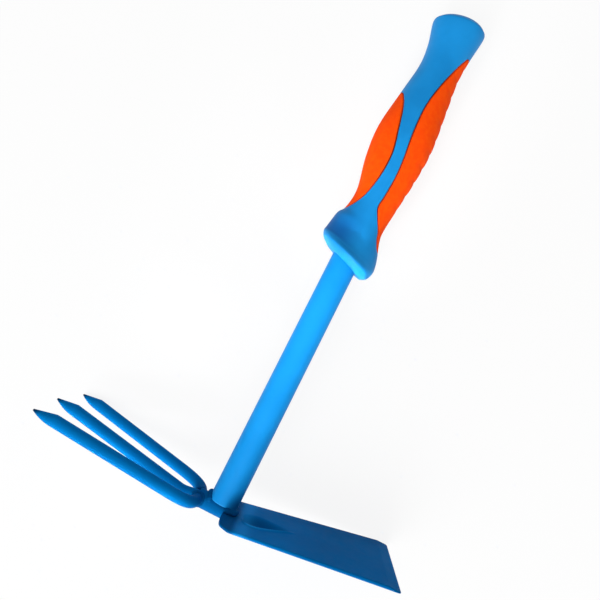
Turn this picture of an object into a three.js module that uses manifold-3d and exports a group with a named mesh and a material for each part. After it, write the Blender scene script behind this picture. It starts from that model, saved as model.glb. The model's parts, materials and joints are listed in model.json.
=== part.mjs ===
// Hand hoe and cultivator: a steel tube carries a stamped hoe blade on one side of its foot
// and a three-tined fork on the other, and a two-colour moulded grip closes its upper end.
// Millimetres. While the pieces are made, Z runs up the tube, X runs along the blade away from
// the fork, and the origin is where the tube's axis meets the blade. At the end the whole tool
// is laid down on its side, as it lies on a bench.

import * as THREE from 'three';
import { mergeVertices } from 'three/addons/utils/BufferGeometryUtils.js';
import Module from 'manifold-3d';

const wasm = await Module();
wasm.setup();

// Shared fits
const clearance = 0.3;
const overrun = 25;
const aroundSteps = 32;
const weldTolerance = 1e-5;

// Steel tube
const tubeDiameter = 15;
const tubeWall = 1.2;
const tubeInHandle = 92;
const tubeFlatLength = 30;
const tubeFlatBlend = 12;
const tubeFlatSqueeze = 1.3;

// Plug that closes the tube's hidden upper end
const plugDepth = 9;
const plugHeadThickness = 1.6;

// Hoe blade, pressed from one sheet
const bladeThickness = 1.6;
const bladeReach = 90.4;
const bladeRise = THREE.MathUtils.degToRad(9.1);
const bladeRootWidth = 44.6;
const bladeEndWidth = 61.8;
const bladeHeelSetback = 1.6;
const bladeHeelRadius = 5.5;
const bladeEndRadius = 2.2;
const heelCurlStart = 12.5;
const heelCurlRise = 3.4;
const heelBendRadius = 2;
const edgeBevelLength = 6;
const edgeThickness = 0.5;

// Channel pressed into the face towards the tube, which stiffens the blade's root
const channelStart = 12;
const channelLength = 27.8;
const channelHalfWidth = 8;
const channelDepth = 2.4;
const channelSideFall = 3.2;

// Fork of three round rods
const rodDiameter = 5.8;
const forkReach = 95.4;
const forkTipSpread = 30;
const forkShoulderReach = 28.7;
const forkShoulderSpread = 19.5;
const forkTipHeight = 12.5;
const forkShoulderHeight = 4.1;
const middleReach = 97.5;
const middleTipHeight = 12.9;
const middleBendReach = 22.8;
const middleBendHeight = 0.9;
const tipLength = 10.2;
const tipPoint = 0.7;
const tipUnderBevel = 2.05;

// Sleeve round the root of the middle rod, which carries the fork on the tube
const sleeveLength = 13;
const sleeveWall = 1.1;
const sleeveHeight = 1.7;
const sleeveDrop = 1.2;
const outerRootStep = 0.5;

// Weld beads
const footWeldRadius = 2.4;
const footWeldHalfTurn = THREE.MathUtils.degToRad(66);
const forkWeldRadius = 1.2;
const forkWeldLean = THREE.MathUtils.degToRad(12);
const tineWeldRadius = 1.2;

// Moulded grip. Heights are counted up from the lip of its guard, at the tube's axis.
const gripFoot = 137.9;
const guardSlope = 0.38;
const lipHeight = 9.7;
const lipPalmReach = 17.5;
const lipFingerReach = 16.1;
const lipHalfDepth = 14.6;
const shoulderRise = 20.2;
const shoulderPalmReach = 15.2;
const shoulderFingerReach = 12.1;
const shoulderHalfDepth = 11.2;
const neckRise = 39;
const neckPalmReach = 11.6;
const neckFingerReach = 12.9;
const neckHalfDepth = 11;
const swellRise = 76;
const swellPalmReach = 16.9;
const swellFingerReach = 15.8;
const swellHalfDepth = 13.4;
const waistRise = 118;
const waistPalmReach = 11.8;
const waistFingerReach = 11.8;
const waistHalfDepth = 10.8;
const pommelRise = 146;
const pommelPalmReach = 15.9;
const pommelFingerReach = 14;
const pommelHalfDepth = 13.4;
const pommelSlope = -0.1;
const pommelCrown = 5.8;

// Soft inlays set into the grip
const inlayDepth = 2.6;
const fingerRibPitch = 8.9;
const fingerRibDepth = 0.55;
const fingerRibsFrom = 38;
const fingerRibsTo = 124;

// Inner edges of the inlays, seen from the side: height as a share of the grip's length and
// distance from the axis as a share of the swell's reach on that side.
const palmEdgeShares = [
  [0.17, 1.3], [0.177, 0.814], [0.231, 0.448], [0.302, 0.261], [0.369, 0.183], [0.426, 0.202],
  [0.5, 0.349], [0.573, 0.509], [0.622, 0.672], [0.649, 0.855], [0.668, 1.3],
];
const fingerEdgeShares = [
  [0.067, 1.3], [0.08, 0.877], [0.113, 0.682], [0.144, 0.585], [0.181, 0.39], [0.218, 0.234],
  [0.267, 0.268], [0.337, 0.297], [0.411, 0.258], [0.48, 0.177], [0.555, 0.127], [0.627, 0.132],
  [0.703, 0.247], [0.781, 0.429], [0.843, 0.614], [0.875, 0.78], [0.892, 1.3],
];

const tubeRadius = tubeDiameter / 2;
const rodRadius = rodDiameter / 2;
const sleeveBoreRadius = rodRadius + clearance;
const sleeveRadius = sleeveBoreRadius + sleeveWall;
const heelLean = (heelCurlRise + bladeThickness / 2) * Math.sin(bladeRise);
const sleeveEnd = bladeHeelSetback * Math.cos(bladeRise) - heelLean - clearance;
const outerRootReach = -sleeveLength + outerRootStep;
const tubeFoot = sleeveHeight + sleeveRadius - sleeveDrop;
const tubeTop = gripFoot + tubeInHandle;
const gripLength = pommelRise + pommelCrown;

// Finishes
const tubePaint = new THREE.MeshStandardMaterial({ color: 0x2b97e3, roughness: 0.38, metalness: 0.1 });
const headPaint = new THREE.MeshStandardMaterial({ color: 0x0b62ad, roughness: 0.42, metalness: 0.1 });
const gripPlastic = new THREE.MeshStandardMaterial({ color: 0x1a86cc, roughness: 0.5, metalness: 0 });
const softRubber = new THREE.MeshStandardMaterial({ color: 0xff5206, roughness: 0.72, metalness: 0 });
const plugPlastic = new THREE.MeshStandardMaterial({ color: 0x2a2d30, roughness: 0.6, metalness: 0 });

// Solids and meshes

function toSolid(geometry) {
  const plain = new THREE.BufferGeometry();
  plain.setAttribute('position', geometry.getAttribute('position').clone());
  if (geometry.index) plain.setIndex(geometry.index.clone());
  const merged = mergeVertices(plain, weldTolerance);
  return new wasm.Manifold(new wasm.Mesh({
    numProp: 3,
    vertProperties: new Float32Array(merged.getAttribute('position').array),
    triVerts: new Uint32Array(merged.index.array),
  }));
}

function toMesh(name, solid, material) {
  const { vertProperties, triVerts, numProp } = solid.getMesh();
  const positions = new Float32Array((vertProperties.length / numProp) * 3);
  for (let i = 0; i < positions.length / 3; i += 1) {
    for (let k = 0; k < 3; k += 1) positions[3 * i + k] = vertProperties[numProp * i + k];
  }
  const geometry = new THREE.BufferGeometry();
  geometry.setAttribute('position', new THREE.BufferAttribute(positions, 3));
  geometry.setIndex(new THREE.BufferAttribute(new Uint32Array(triVerts), 1));
  geometry.computeVertexNormals();
  const mesh = new THREE.Mesh(geometry, material);
  mesh.name = name;
  return mesh;
}

// A closed skin through a row of rings that all have as many points, with a flat fan at each end.
function loft(rings) {
  const count = rings[0].length;
  const points = rings.flat();
  const index = [];
  for (let i = 0; i < rings.length - 1; i += 1) {
    for (let j = 0; j < count; j += 1) {
      const a = i * count + j;
      const b = i * count + ((j + 1) % count);
      index.push(a, b, b + count, a, b + count, a + count);
    }
  }
  for (const end of [0, rings.length - 1]) {
    const centre = new THREE.Vector3();
    rings[end].forEach((p) => centre.addScaledVector(p, 1 / count));
    points.push(centre);
    for (let j = 0; j < count; j += 1) {
      const a = end * count + j;
      const b = end * count + ((j + 1) % count);
      if (end === 0) index.push(points.length - 1, b, a);
      else index.push(points.length - 1, a, b);
    }
  }
  const geometry = new THREE.BufferGeometry();
  geometry.setFromPoints(points);
  geometry.setIndex(index);
  return toSolid(geometry);
}

// Flat outline in the XZ plane, given thickness along Y on both sides of that plane.
function sidePrism(outline, halfThickness) {
  const shape = new THREE.Shape(outline.map((p) => new THREE.Vector2(p.x, p.y)));
  const geometry = new THREE.ExtrudeGeometry(shape, { depth: 2 * halfThickness, bevelEnabled: false });
  geometry.translate(0, 0, -halfThickness);
  geometry.rotateX(Math.PI / 2);
  return toSolid(geometry);
}

function smoothStep(value) {
  const t = THREE.MathUtils.clamp(value, 0, 1);
  return t * t * (3 - 2 * t);
}

// Tube and plug

// Half widths of the tube at a height: round, then pressed oval inside the grip.
function tubeOval(height, inset) {
  const squeeze = tubeFlatSqueeze * smoothStep((height - (tubeTop - tubeFlatLength)) / tubeFlatBlend);
  return { halfX: tubeRadius + squeeze - inset, halfY: tubeRadius - squeeze - inset };
}

function tubeBody(from, to, inset) {
  const blendStart = tubeTop - tubeFlatLength;
  const blendSteps = 6;
  const heights = [from];
  for (let i = 0; i <= blendSteps; i += 1) {
    const height = blendStart + (tubeFlatBlend * i) / blendSteps;
    if (height > from && height < to) heights.push(height);
  }
  heights.push(to);
  return loft(heights.map((height) => {
    const { halfX, halfY } = tubeOval(height, inset);
    return Array.from({ length: aroundSteps }, (_, j) => {
      const angle = (2 * Math.PI * j) / aroundSteps;
      return new THREE.Vector3(halfX * Math.cos(angle), halfY * Math.sin(angle), height);
    });
  }));
}

function makeTube() {
  const outer = tubeBody(tubeFoot, tubeTop, 0);
  const bore = tubeBody(tubeFoot - overrun, tubeTop + overrun, tubeWall);
  return outer.subtract(bore).subtract(sleeveClearance());
}

function makePlug() {
  const stem = tubeBody(tubeTop - plugDepth, tubeTop + clearance + plugHeadThickness, tubeWall + clearance);
  const head = tubeBody(tubeTop + clearance, tubeTop + clearance + plugHeadThickness, 0);
  return stem.add(head);
}

// Moulded grip

function ring(rise, palm, finger, halfDepth, slope) {
  return { rise, palm, finger, halfDepth, slope };
}

// A ring part of the way from one ring to another, with its own share of the way for the height
// and for the reaches.
function between(low, high, riseShare, reachShare) {
  const mix = THREE.MathUtils.lerp;
  return ring(
    mix(low.rise, high.rise, riseShare),
    mix(low.palm, high.palm, reachShare),
    mix(low.finger, high.finger, reachShare),
    mix(low.halfDepth, high.halfDepth, reachShare),
    mix(low.slope, high.slope, riseShare),
  );
}

// The same ring drawn in to a share of its reach, as where an edge is rounded over.
function drawnIn(base, rise, share, slope) {
  return ring(rise, base.palm * share, base.finger * share, base.halfDepth * share, slope);
}

function gripKeyRings() {
  const lip = ring(0.68 * lipHeight, lipPalmReach, lipFingerReach, lipHalfDepth, 0.71 * guardSlope);
  const lipFootRing = drawnIn(lip, 0, 0.70, guardSlope);
  const lipRound = drawnIn(lip, 0.18 * lipHeight, 0.86, 0.9 * guardSlope);
  const lipTop = drawnIn(lip, lipHeight, 0.975, 0.6 * guardSlope);
  const shoulder = ring(shoulderRise, shoulderPalmReach, shoulderFingerReach, shoulderHalfDepth,
    0.5 * guardSlope);
  const flare = between(lipTop, shoulder, 0.4, 0.35);
  flare.halfDepth = THREE.MathUtils.lerp(lipTop.halfDepth, shoulder.halfDepth, 0.72);
  const neck = ring(neckRise, neckPalmReach, neckFingerReach, neckHalfDepth, 0);
  const throat = between(shoulder, neck, 0.3, 0.72);
  throat.finger = shoulderFingerReach * 0.94;
  const swell = ring(swellRise, swellPalmReach, swellFingerReach, swellHalfDepth, 0);
  const waist = ring(waistRise, waistPalmReach, waistFingerReach, waistHalfDepth, 0);
  const pommel = ring(pommelRise, pommelPalmReach, pommelFingerReach, pommelHalfDepth, pommelSlope);
  return [
    lipFootRing,
    lipRound,
    lip,
    lipTop,
    flare,
    shoulder,
    throat,
    neck,
    between(neck, swell, 0.5, 0.72),
    swell,
    between(swell, waist, 0.55, 0.54),
    waist,
    between(waist, pommel, 0.5, 0.24),
    pommel,
    drawnIn(pommel, pommelRise + 0.5 * pommelCrown, 0.95, pommelSlope),
    drawnIn(pommel, pommelRise + 0.84 * pommelCrown, 0.78, pommelSlope),
    drawnIn(pommel, pommelRise + pommelCrown, 0.46, pommelSlope),
  ];
}

// Rings of the grip at even steps between the key rings, along one smooth curve for the reaches
// and one for the heights.
function gripRings(stepsPerKey) {
  const keys = gripKeyRings();
  const reaches = new THREE.CatmullRomCurve3(
    keys.map((k) => new THREE.Vector3(k.palm, k.finger, k.halfDepth)), false, 'catmullrom', 0.5);
  const heights = new THREE.CatmullRomCurve3(
    keys.map((k) => new THREE.Vector3(k.rise, k.slope * gripLength, 0)), false, 'catmullrom', 0.5);
  const steps = stepsPerKey * (keys.length - 1);
  return Array.from({ length: steps + 1 }, (_, i) => {
    const reach = reaches.getPoint(i / steps);
    const height = heights.getPoint(i / steps);
    return ring(height.x, reach.x, reach.y, reach.z, height.y / gripLength);
  });
}

function fingerRibs(rise) {
  if (rise < fingerRibsFrom || rise > fingerRibsTo) return 0;
  const turns = (rise - fingerRibsFrom) / fingerRibPitch;
  return fingerRibDepth * 0.5 * (1 - Math.cos(2 * Math.PI * turns));
}

// The grip's body, drawn in on all sides by an inset. Ribbed bodies carry the finger ribs.
function gripBody(stepsPerKey, inset, ribbed) {
  return loft(gripRings(stepsPerKey).map((r) => Array.from({ length: aroundSteps }, (_, j) => {
    const angle = (2 * Math.PI * j) / aroundSteps;
    const reach = Math.cos(angle) > 0 ? r.finger - (ribbed ? fingerRibs(r.rise) : 0) : r.palm;
    const x = (reach - inset) * Math.cos(angle);
    const y = (r.halfDepth - inset) * Math.sin(angle);
    return new THREE.Vector3(x, y, gripFoot + r.rise - r.slope * x);
  })));
}

// Side outline of an inlay: its inner edge as a smooth curve, closed well outside the grip.
function inlayOutline(edgeShares, reach, direction, inset) {
  const keys = edgeShares.map(([heightShare, reachShare]) => new THREE.Vector2(
    direction * reachShare * reach, gripFoot + heightShare * gripLength));
  const curve = new THREE.SplineCurve(keys);
  const points = curve.getPoints(4 * (keys.length - 1));
  const moved = points.map((p, i) => {
    const before = points[Math.max(i - 1, 0)];
    const after = points[Math.min(i + 1, points.length - 1)];
    const along = after.clone().sub(before).normalize();
    return new THREE.Vector2(p.x + direction * along.y * inset, p.y - direction * along.x * inset);
  });
  const far = direction * (reach + overrun);
  moved.push(new THREE.Vector2(far, moved[moved.length - 1].y));
  moved.push(new THREE.Vector2(far, moved[0].y));
  if (direction < 0) moved.reverse();
  return moved;
}

const palmInlay = {
  name: 'palm_grip_inlay', shares: palmEdgeShares, reach: swellPalmReach, direction: -1, ribbed: false,
};
const fingerInlay = {
  name: 'finger_grip_inlay', shares: fingerEdgeShares, reach: swellFingerReach, direction: 1, ribbed: true,
};
const inlays = [palmInlay, fingerInlay];

function inlayPrism(inlay, inset) {
  const outline = inlayOutline(inlay.shares, inlay.reach, inlay.direction, inset);
  return sidePrism(outline, lipHalfDepth + overrun);
}

function makeGripCore() {
  const pocketFloor = gripBody(3, inlayDepth, false);
  let core = gripBody(3, 0, false);
  for (const inlay of inlays) core = core.subtract(inlayPrism(inlay, 0).subtract(pocketFloor));
  const boreTop = tubeTop + clearance + plugHeadThickness + clearance;
  return core.subtract(tubeBody(gripFoot - overrun, boreTop, -clearance));
}

function makeInlay(inlay) {
  const floor = gripBody(3, inlayDepth - clearance, false);
  const skin = gripBody(inlay.ribbed ? 6 : 3, 0, inlay.ribbed);
  return skin.intersect(inlayPrism(inlay, clearance)).subtract(floor);
}

// Hoe blade

// Height of the sheet's middle above the blade's plane: the heel, bent up to a straight flange, and
// the pressed channel.
function bladeForm(x, y) {
  const soft = (run) => Math.hypot(run, heelBendRadius) - heelBendRadius;
  const curl = soft(Math.max(0, heelCurlStart - x)) / soft(heelCurlStart - bladeHeelSetback);
  const along = THREE.MathUtils.clamp((x - channelStart) / channelLength, 0, 1);
  const halfWidth = channelHalfWidth * Math.sqrt(Math.min(1, along * 5)) * (1 - along) ** 0.7;
  const depth = channelDepth * Math.sqrt(Math.min(1, along * 6)) * (1 - along) ** 0.9;
  const wall = smoothStep((halfWidth - Math.abs(y)) / channelSideFall);
  return heelCurlRise * curl - depth * wall;
}

function bladeHalfWidth(x) {
  return (bladeRootWidth + ((bladeEndWidth - bladeRootWidth) * x) / bladeReach) / 2;
}

function bladeOutline() {
  const shape = new THREE.Shape();
  const heel = bladeHalfWidth(bladeHeelSetback);
  const end = bladeHalfWidth(bladeReach);
  const corners = [
    { x: bladeHeelSetback, y: -heel, radius: bladeHeelRadius },
    { x: bladeReach, y: -end, radius: bladeEndRadius },
    { x: bladeReach, y: end, radius: bladeEndRadius },
    { x: bladeHeelSetback, y: heel, radius: bladeHeelRadius },
  ];
  corners.forEach((corner, i) => {
    const before = corners[(i + 3) % 4];
    const after = corners[(i + 1) % 4];
    const here = new THREE.Vector2(corner.x, corner.y);
    const start = new THREE.Vector2(before.x, before.y).sub(here).setLength(corner.radius).add(here);
    const stop = new THREE.Vector2(after.x, after.y).sub(here).setLength(corner.radius).add(here);
    if (i === 0) shape.moveTo(start.x, start.y);
    else shape.lineTo(start.x, start.y);
    shape.quadraticCurveTo(here.x, here.y, stop.x, stop.y);
  });
  return shape;
}

// The pressed sheet as a grid of columns, thickened by an extra margin where a neighbour is cut
// to clear it.
function bladeSheet(margin) {
  const xs = [];
  const curlSteps = 6;
  for (let i = -1; i < curlSteps; i += 1) {
    xs.push(bladeHeelSetback + ((heelCurlStart - bladeHeelSetback) * i) / curlSteps);
  }
  const channelSteps = 16;
  const channelEnd = channelStart + channelLength;
  for (let i = 0; i <= channelSteps; i += 1) {
    xs.push(THREE.MathUtils.lerp(heelCurlStart, channelEnd, i / channelSteps));
  }
  const bevelStart = bladeReach - edgeBevelLength;
  xs.push(bevelStart);
  xs.push(bladeReach);
  xs.push(bladeReach + edgeBevelLength / 4);
  const acrossSteps = 18;
  const ys = [-bladeEndWidth];
  for (let j = 0; j <= acrossSteps; j += 1) {
    ys.push(THREE.MathUtils.lerp(-channelHalfWidth, channelHalfWidth, j / acrossSteps));
  }
  ys.push(bladeEndWidth);
  const rings = xs.map((x) => {
    const bevel = Math.max(0, (x - bevelStart) / edgeBevelLength) * (bladeThickness - edgeThickness);
    const half = bladeThickness / 2 + margin;
    const top = ys.map((y) => new THREE.Vector3(x, y, bladeForm(x, y) + half - bevel));
    const under = ys.map((y) => new THREE.Vector3(x, y, bladeForm(x, y) - half));
    return [...under, ...top.reverse()];
  });
  return stripLoft(rings, ys.length);
}

// As loft, but each end is closed by a strip between the under and top points of its ring.
function stripLoft(rings, columns) {
  const count = 2 * columns;
  const index = [];
  for (let i = 0; i < rings.length - 1; i += 1) {
    for (let j = 0; j < count; j += 1) {
      const a = i * count + j;
      const b = i * count + ((j + 1) % count);
      index.push(a, b, b + count, a, b + count, a + count);
    }
  }
  for (let j = 0; j < columns - 1; j += 1) {
    const first = [j, j + 1, count - 2 - j, count - 1 - j];
    const last = first.map((k) => k + (rings.length - 1) * count);
    index.push(first[0], first[2], first[1], first[0], first[3], first[2]);
    index.push(last[0], last[1], last[2], last[0], last[2], last[3]);
  }
  const geometry = new THREE.BufferGeometry();
  geometry.setFromPoints(rings.flat());
  geometry.setIndex(index);
  return toSolid(geometry);
}

// Turns what is made in the blade's own plane up to the blade's rise.
function raised(solid) {
  const turn = new THREE.Matrix4().makeRotationY(-bladeRise);
  return solid.transform(turn.elements);
}

function makeBlade() {
  const settings = { depth: 2 * overrun, bevelEnabled: false, curveSegments: 8 };
  const plan = new THREE.ExtrudeGeometry(bladeOutline(), settings);
  plan.translate(0, 0, -overrun);
  return raised(bladeSheet(0).intersect(toSolid(plan)));
}

// Fork

// The middle rod runs straight out of the sleeve and then rises. The outer rods swing out from the
// sleeve's side and run straight to their tips.
function forkPath(side) {
  const path = new THREE.CurvePath();
  if (side === 0) {
    const root = new THREE.Vector3(sleeveEnd, 0, sleeveHeight);
    const mouth = new THREE.Vector3(-sleeveLength, 0, sleeveHeight);
    const bend = new THREE.Vector3(-middleBendReach, 0, middleBendHeight);
    const tip = new THREE.Vector3(-middleReach, 0, middleTipHeight);
    const swing = mouth.distanceTo(bend) / 3;
    const leave = new THREE.Vector3(-swing, 0, 0).add(mouth);
    const arrive = bend.clone().sub(tip).setLength(swing).add(bend);
    path.add(new THREE.LineCurve3(root, mouth));
    path.add(new THREE.CubicBezierCurve3(mouth, leave, arrive, bend));
    path.add(new THREE.LineCurve3(bend, tip));
    return path;
  }
  const root = new THREE.Vector3(outerRootReach, 0, sleeveHeight);
  const turn = new THREE.Vector3(outerRootReach, side * sleeveRadius, sleeveHeight);
  const bend = new THREE.Vector3(-forkShoulderReach, side * forkShoulderSpread, forkShoulderHeight);
  const tip = new THREE.Vector3(-forkReach, side * forkTipSpread, forkTipHeight);
  const swing = turn.distanceTo(bend) / 2;
  const leave = turn.clone().sub(root).setLength(swing).add(turn);
  const arrive = bend.clone().sub(tip).setLength(swing).add(bend);
  path.add(new THREE.LineCurve3(root, turn));
  path.add(new THREE.CubicBezierCurve3(turn, leave, arrive, bend));
  path.add(new THREE.LineCurve3(bend, tip));
  return path;
}

// A round rod along its path, drawn out at the end to a flat point that lies near its underside.
// A margin grows it on all sides where a neighbour is cut to clear it.
function rodAlong(path, margin) {
  const bendSteps = 12;
  const tipSteps = 6;
  const sides = 12;
  const [rootEnd, bendEnd, total] = path.getCurveLengths();
  const stations = [0];
  for (let i = 0; i <= bendSteps; i += 1) {
    stations.push(THREE.MathUtils.lerp(rootEnd, bendEnd, i / bendSteps));
  }
  for (let i = 0; i <= tipSteps; i += 1) {
    stations.push(total - tipLength + (tipLength * i) / tipSteps);
  }
  const up = new THREE.Vector3(0, 0, 1);
  return loft(stations.map((station) => {
    const at = Math.min(station / total, 1);
    const centre = path.getPoint(at);
    const along = path.getTangent(at);
    const across = new THREE.Vector3().crossVectors(up, along).normalize();
    const lift = new THREE.Vector3().crossVectors(along, across).normalize();
    const drawn = Math.max(0, (station - (total - tipLength)) / tipLength);
    const top = THREE.MathUtils.lerp(rodRadius, -rodRadius + tipUnderBevel + tipPoint, drawn);
    const under = -rodRadius + tipUnderBevel * drawn * drawn;
    const halfWidth = THREE.MathUtils.lerp(rodRadius, tipPoint, drawn * drawn);
    return Array.from({ length: sides }, (_, j) => {
      const angle = (2 * Math.PI * j) / sides;
      return centre.clone()
        .addScaledVector(across, (halfWidth + margin) * Math.cos(angle))
        .addScaledVector(lift, (top + under) / 2 + ((top - under) / 2 + margin) * Math.sin(angle));
    });
  }));
}

// A round bar along X at the sleeve's height.
function sleeveBar(from, to, radius) {
  const geometry = new THREE.CylinderGeometry(radius, radius, to - from, 24);
  geometry.rotateZ(Math.PI / 2);
  geometry.translate((from + to) / 2, 0, sleeveHeight);
  return toSolid(geometry);
}

function makeSleeve() {
  const sleeve = sleeveBar(-sleeveLength, sleeveEnd, sleeveRadius);
  return sleeve.subtract(sleeveBar(-sleeveLength - overrun, overrun, sleeveBoreRadius));
}

function sleeveClearance() {
  return sleeveBar(-sleeveLength - clearance, sleeveEnd + clearance, sleeveRadius + clearance);
}

function makeTine(side) {
  const rod = rodAlong(forkPath(side), 0);
  if (side === 0) return rod;
  const middleClearance = sleeveBar(-sleeveLength - rodDiameter, sleeveEnd, rodRadius + clearance);
  return rod.subtract(sleeveClearance()).subtract(middleClearance);
}

// Welds

// A bead along part of a circle round the tube's foot.
function footBead(startAngle, endAngle, height) {
  const steps = 16;
  const sides = 12;
  const centreRadius = tubeRadius + clearance + footWeldRadius * 0.3;
  return loft(Array.from({ length: steps + 1 }, (_, i) => {
    const turn = THREE.MathUtils.lerp(startAngle, endAngle, i / steps);
    const out = new THREE.Vector3(Math.cos(turn), Math.sin(turn), 0);
    const radius = footWeldRadius * (0.55 + 0.45 * Math.sqrt(Math.sin((Math.PI * i) / steps)));
    return Array.from({ length: sides }, (_, j) => {
      const angle = (-2 * Math.PI * j) / sides;
      return out.clone().multiplyScalar(centreRadius + radius * Math.cos(angle))
        .add(new THREE.Vector3(0, 0, height + radius * Math.sin(angle)));
    });
  }));
}

function tubeClearance() {
  return tubeBody(tubeFoot - clearance, tubeTop, -clearance);
}

function makeBladeWeld() {
  return footBead(-footWeldHalfTurn, footWeldHalfTurn, tubeFoot - footWeldRadius * 0.4)
    .subtract(tubeClearance())
    .subtract(raised(bladeSheet(clearance)))
    .subtract(sleeveClearance());
}

// A bead round the sleeve, in the corner between it and the tube's wall.
function forkBead(margin) {
  const bead = new THREE.TorusGeometry(sleeveRadius, forkWeldRadius + margin, 10, 24);
  bead.rotateY(Math.PI / 2 - forkWeldLean);
  bead.translate(-tubeRadius - clearance, 0, sleeveHeight);
  return toSolid(bead);
}

function makeForkWeld() {
  return forkBead(0).subtract(tubeClearance()).subtract(sleeveClearance());
}

// A bead round the root of an outer rod, where it leaves the sleeve.
function makeTineWeld(side) {
  const bead = new THREE.TorusGeometry(rodRadius, tineWeldRadius, 10, 24);
  bead.rotateX(Math.PI / 2);
  bead.translate(outerRootReach, side * (sleeveRadius - tineWeldRadius / 2), sleeveHeight);
  return toSolid(bead)
    .subtract(sleeveClearance())
    .subtract(rodAlong(forkPath(side), clearance))
    .subtract(rodAlong(forkPath(0), clearance))
    .subtract(forkBead(clearance));
}

// The assembled tool

const tool = new THREE.Group();
tool.add(toMesh('shaft_tube', makeTube(), tubePaint));
tool.add(toMesh('tube_end_plug', makePlug(), plugPlastic));
tool.add(toMesh('grip_core', makeGripCore(), gripPlastic));
for (const inlay of inlays) tool.add(toMesh(inlay.name, makeInlay(inlay), softRubber));
tool.add(toMesh('hoe_blade', makeBlade(), headPaint));
tool.add(toMesh('blade_weld', makeBladeWeld(), headPaint));
tool.add(toMesh('fork_sleeve', makeSleeve(), headPaint));
tool.add(toMesh('fork_weld', makeForkWeld(), headPaint));
tool.add(toMesh('left_tine', makeTine(-1), headPaint));
tool.add(toMesh('middle_tine', makeTine(0), headPaint));
tool.add(toMesh('right_tine', makeTine(1), headPaint));
tool.add(toMesh('left_tine_weld', makeTineWeld(-1), headPaint));
tool.add(toMesh('right_tine_weld', makeTineWeld(1), headPaint));

// The vertex of a piece that lies furthest in a direction.
function furthest(piece, direction) {
  const corners = piece.geometry.getAttribute('position');
  const best = new THREE.Vector3();
  const corner = new THREE.Vector3();
  let reach = -Infinity;
  for (let i = 0; i < corners.count; i += 1) {
    corner.fromBufferAttribute(corners, i);
    if (corner.dot(direction) > reach) {
      reach = corner.dot(direction);
      best.copy(corner);
    }
  }
  return best;
}

// The tool lies on three points of its right side: a corner of the blade, the right tine near its
// tip and the side of the pommel. The plane through them, found step by step, becomes the ground.
function layDown(model, restingPieces) {
  const settleSteps = 6;
  const down = new THREE.Vector3(0, 1, 0);
  for (let i = 0; i < settleSteps; i += 1) {
    const contacts = restingPieces.map((piece) => furthest(piece, down));
    const ground = new THREE.Plane().setFromCoplanarPoints(...contacts);
    if (ground.normal.dot(down) < 0) ground.negate();
    down.copy(ground.normal);
  }
  const tilt = new THREE.Quaternion().setFromUnitVectors(down, new THREE.Vector3(0, 1, 0));
  const onSide = new THREE.Quaternion().setFromAxisAngle(new THREE.Vector3(1, 0, 0), -Math.PI / 2);
  model.quaternion.copy(onSide.multiply(tilt));
  const box = new THREE.Box3().setFromObject(model, true);
  const centre = box.getCenter(new THREE.Vector3());
  model.position.set(-centre.x, -centre.y, -box.min.z);
}

const restingNames = ['hoe_blade', 'right_tine', 'grip_core'];
layDown(tool, restingNames.map((name) => tool.getObjectByName(name)));
const group = new THREE.Group();
group.add(tool);

export default group;
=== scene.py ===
# %% [markdown]
# # Hand hoe and cultivator
# The looks of a small steel garden tool: a pressed blade and a three-tined fork on the foot of a
# tube, and a moulded two-colour grip on its top. The CAD model gives the frame: every piece below
# stands for one of its nodes, in the same place and at the same size, with smoother surfaces and
# real finishes. Each surface is worked out as one array of points from a formula.

# %% Frame and sizes
import json

import bpy
import numpy as np
from mathutils import Matrix, Vector

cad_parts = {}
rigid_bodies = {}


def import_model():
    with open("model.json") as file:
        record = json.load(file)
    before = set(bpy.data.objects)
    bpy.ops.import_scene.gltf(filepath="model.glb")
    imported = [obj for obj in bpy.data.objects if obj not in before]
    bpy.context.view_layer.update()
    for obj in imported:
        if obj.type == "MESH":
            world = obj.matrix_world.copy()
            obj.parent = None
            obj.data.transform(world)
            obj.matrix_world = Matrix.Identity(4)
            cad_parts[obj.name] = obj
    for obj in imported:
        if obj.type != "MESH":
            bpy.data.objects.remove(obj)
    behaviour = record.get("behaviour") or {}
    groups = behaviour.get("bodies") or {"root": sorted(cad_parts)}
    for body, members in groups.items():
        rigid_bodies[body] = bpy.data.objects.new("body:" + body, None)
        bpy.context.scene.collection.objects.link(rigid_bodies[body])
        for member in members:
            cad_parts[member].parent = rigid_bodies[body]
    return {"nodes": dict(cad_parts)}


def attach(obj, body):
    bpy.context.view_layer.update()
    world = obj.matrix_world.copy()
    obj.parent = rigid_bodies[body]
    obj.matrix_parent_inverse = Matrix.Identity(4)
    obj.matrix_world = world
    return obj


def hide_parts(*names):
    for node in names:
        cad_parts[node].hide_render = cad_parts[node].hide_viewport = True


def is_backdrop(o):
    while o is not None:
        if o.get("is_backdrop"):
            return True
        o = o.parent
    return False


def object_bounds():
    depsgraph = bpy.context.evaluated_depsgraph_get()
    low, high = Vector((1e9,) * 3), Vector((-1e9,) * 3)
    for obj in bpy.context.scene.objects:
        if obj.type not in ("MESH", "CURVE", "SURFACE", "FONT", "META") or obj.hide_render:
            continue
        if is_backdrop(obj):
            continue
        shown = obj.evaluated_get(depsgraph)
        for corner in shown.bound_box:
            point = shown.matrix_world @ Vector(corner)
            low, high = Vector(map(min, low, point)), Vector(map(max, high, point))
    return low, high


for leftover in list(bpy.data.objects):
    bpy.data.objects.remove(leftover)
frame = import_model()
low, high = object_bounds()
size = {"cad_low": list(low), "cad_high": list(high)}
print("CAD box in metres:", [round(b - a, 4) for a, b in zip(low, high)])
MM = 0.001

# %% [markdown]
# ## The tool's own axes
# All sizes below are in millimetres in the tool's own frame: Z runs up the tube, X along the blade
# away from the fork, and the origin is where the tube's axis meets the blade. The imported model
# lies on its side, so typing world coordinates would be guesswork. Instead the axes are read back
# from two CAD nodes that are symmetrical: the sleeve lies along X, and the plug at the tube's top
# lies on Z.

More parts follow.
